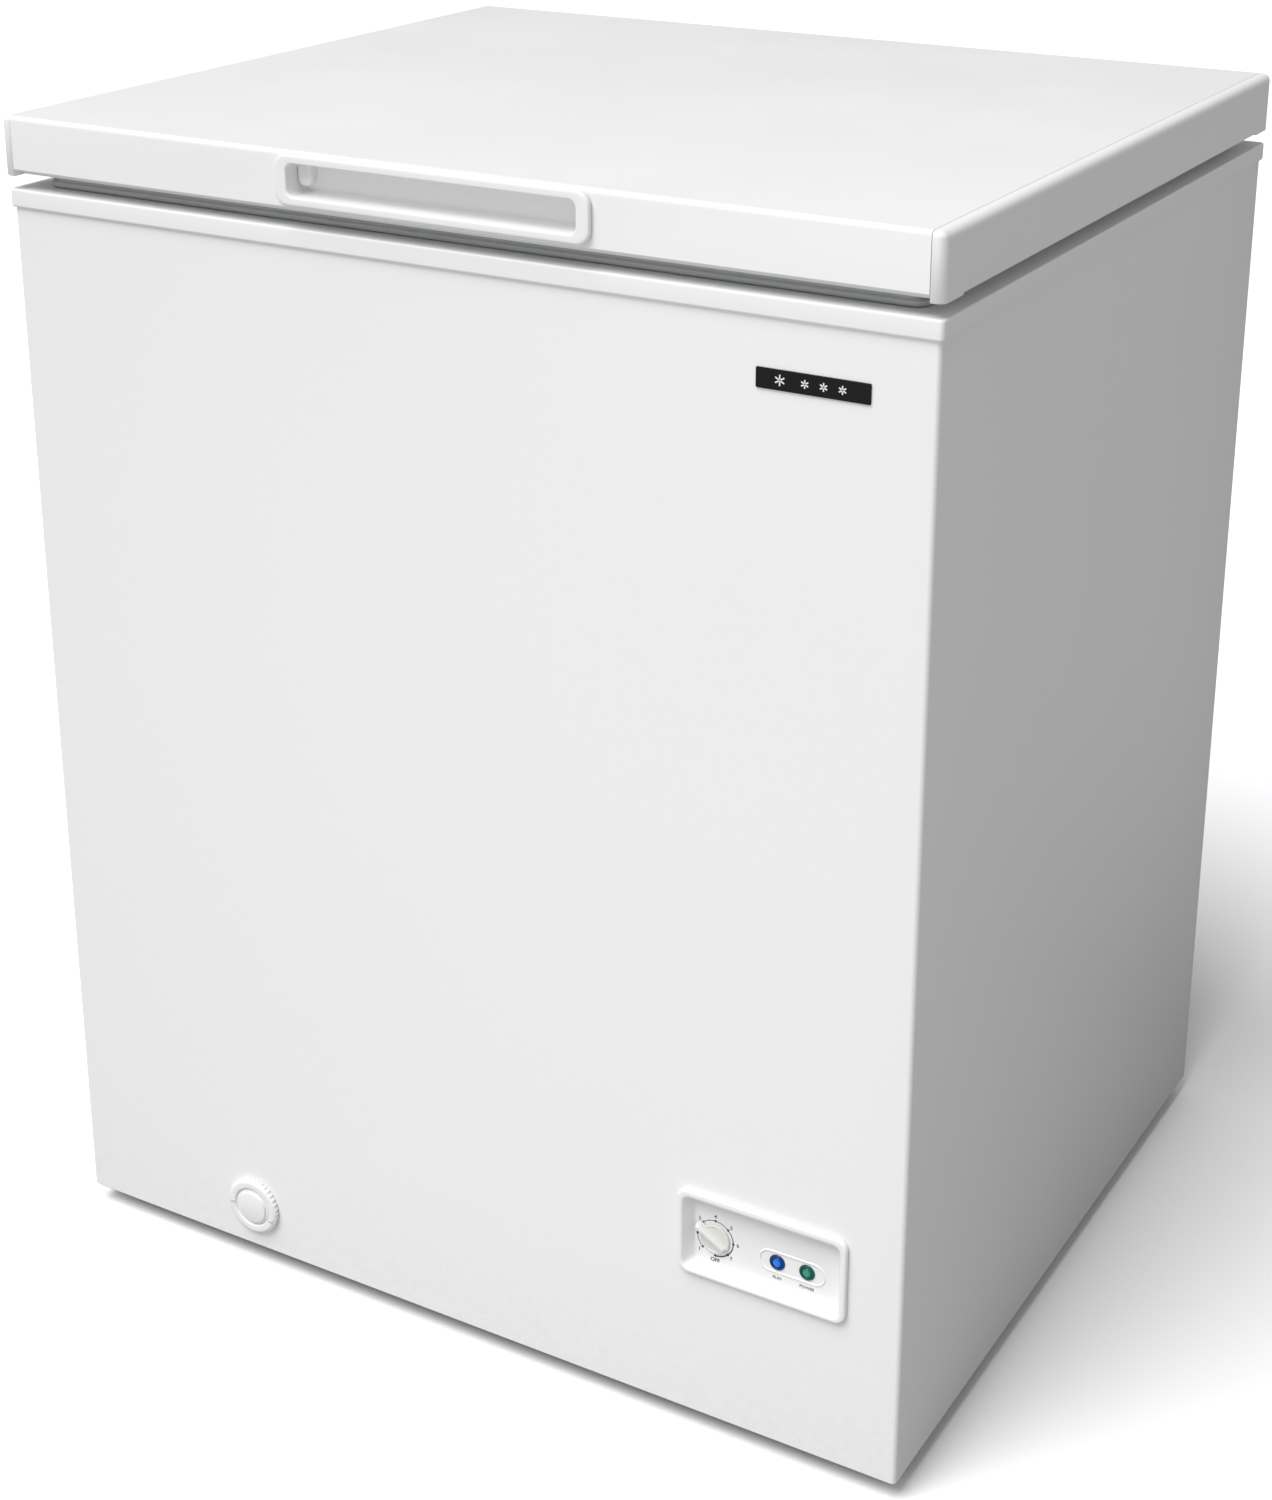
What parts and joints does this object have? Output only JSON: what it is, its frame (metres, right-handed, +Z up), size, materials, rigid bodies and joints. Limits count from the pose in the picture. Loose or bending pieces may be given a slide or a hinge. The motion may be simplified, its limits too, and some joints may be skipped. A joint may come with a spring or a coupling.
{
  "type": "chest freezer",
  "caption": "Small chest freezer with a hinged insulated lid, recessed lid grip, sliding wire basket, thermostat dial, indicator lamps and a front drain.",
  "frame": {"origin": "on the floor, at the middle of the appliance's width and of its overall depth from the lid grip to the hinge covers", "axes": "+Z up, +X to the right seen from the front; the front with the grip and controls faces -Y and the hinges are at +Y"},
  "size_m": [0.6862, 0.614, 0.85],
  "materials": {
    "white_enamel": "satin",
    "grey_steel": "satin",
    "white_plastic": "satin",
    "white_liner": "satin",
    "grey_plastic": "matte",
    "knob_plastic": "satin",
    "foam": "matte",
    "aluminium_tube": "satin",
    "copper_tube": "satin",
    "black_steel": "satin",
    "plated_steel": "satin",
    "black_rubber": "matte",
    "grey_rubber": "matte",
    "dark_plate": "satin",
    "blue_lens": "gloss",
    "green_lens": "gloss",
    "green_board": "satin",
    "white_wire": "satin"
  },
  "bodies": {
    "cabinet": {"outer_wrapper": "white_enamel", "back_panel": "grey_steel", "base_pan": "grey_steel", "foot_1": "grey_plastic", "foot_2": "grey_plastic", "foot_3": "grey_plastic", "foot_4": "grey_plastic", "cabinet_foam": "foam", "inner_liner": "white_liner", "liner_bottom": "white_liner", "evaporator_tube": "aluminium_tube", "condenser_tube": "copper_tube", "top_frame": "white_plastic", "control_panel": "white_plastic", "thermostat_body": "grey_plastic", "lamp_blue": "blue_lens", "lamp_green": "green_lens", "lamp_board": "green_board", "badge_plate": "dark_plate", "drain_pipe": "grey_plastic", "compressor": "black_steel", "compressor_plate": "black_steel", "compressor_grommet_1": "black_rubber", "compressor_grommet_2": "black_rubber", "compressor_grommet_3": "black_rubber", "compressor_grommet_4": "black_rubber", "relay_cover": "grey_plastic", "filter_drier": "copper_tube", "suction_tube": "copper_tube", "discharge_tube": "copper_tube", "rear_grille": "grey_plastic", "cord_gland": "black_rubber", "hinge_bracket_left": "plated_steel", "hinge_bracket_right": "plated_steel", "hinge_pin_left": "plated_steel", "hinge_pin_right": "plated_steel", "hinge_cover_left": "white_plastic", "hinge_cover_right": "white_plastic"},
    "lid": {"lid_skin": "white_enamel", "lid_foam": "foam", "lid_liner": "white_liner", "lid_gasket": "grey_rubber", "lid_end_cap_left": "white_plastic", "lid_end_cap_right": "white_plastic", "handle_grip": "white_plastic", "hinge_arm_left": "plated_steel", "hinge_arm_right": "plated_steel"},
    "basket": {"basket_wires": "white_wire", "basket_grip_front": "white_plastic", "basket_grip_back": "white_plastic"},
    "knob": {"thermostat_knob": "knob_plastic"},
    "spout": {"drain_spout": "white_plastic"},
    "cap": {"drain_cap": "white_plastic"},
    "stopper": {"drain_stopper": "grey_rubber"}
  },
  "joints": [
    {"name": "lid_hinge", "type": "hinge", "parent": "cabinet", "child": "lid", "pos_m": [0, 0.292, 0.806], "axis": [-1, 0, 0], "range_deg": [0, 80]},
    {"name": "basket_slide", "type": "slide", "parent": "cabinet", "child": "basket", "axis": [-1, 0, 0], "range_m": [0, 0.32]},
    {"name": "knob_turn", "type": "hinge", "parent": "cabinet", "child": "knob", "pos_m": [0.2031, -0.2922, 0.1524], "axis": [0, 1, 0], "range_deg": [-120, 195]},
    {"name": "spout_pull", "type": "slide", "parent": "cabinet", "child": "spout", "axis": [0, -1, 0], "range_m": [0, 0.03]},
    {"name": "cap_turn", "type": "hinge", "parent": "spout", "child": "cap", "pos_m": [-0.1815, -0.2985, 0.05], "axis": [0, 1, 0], "range_deg": [0, 180]},
    {"name": "stopper_lift", "type": "slide", "parent": "cabinet", "child": "stopper", "axis": [0, 0, 1], "range_m": [0, 0.06]}
  ]
}
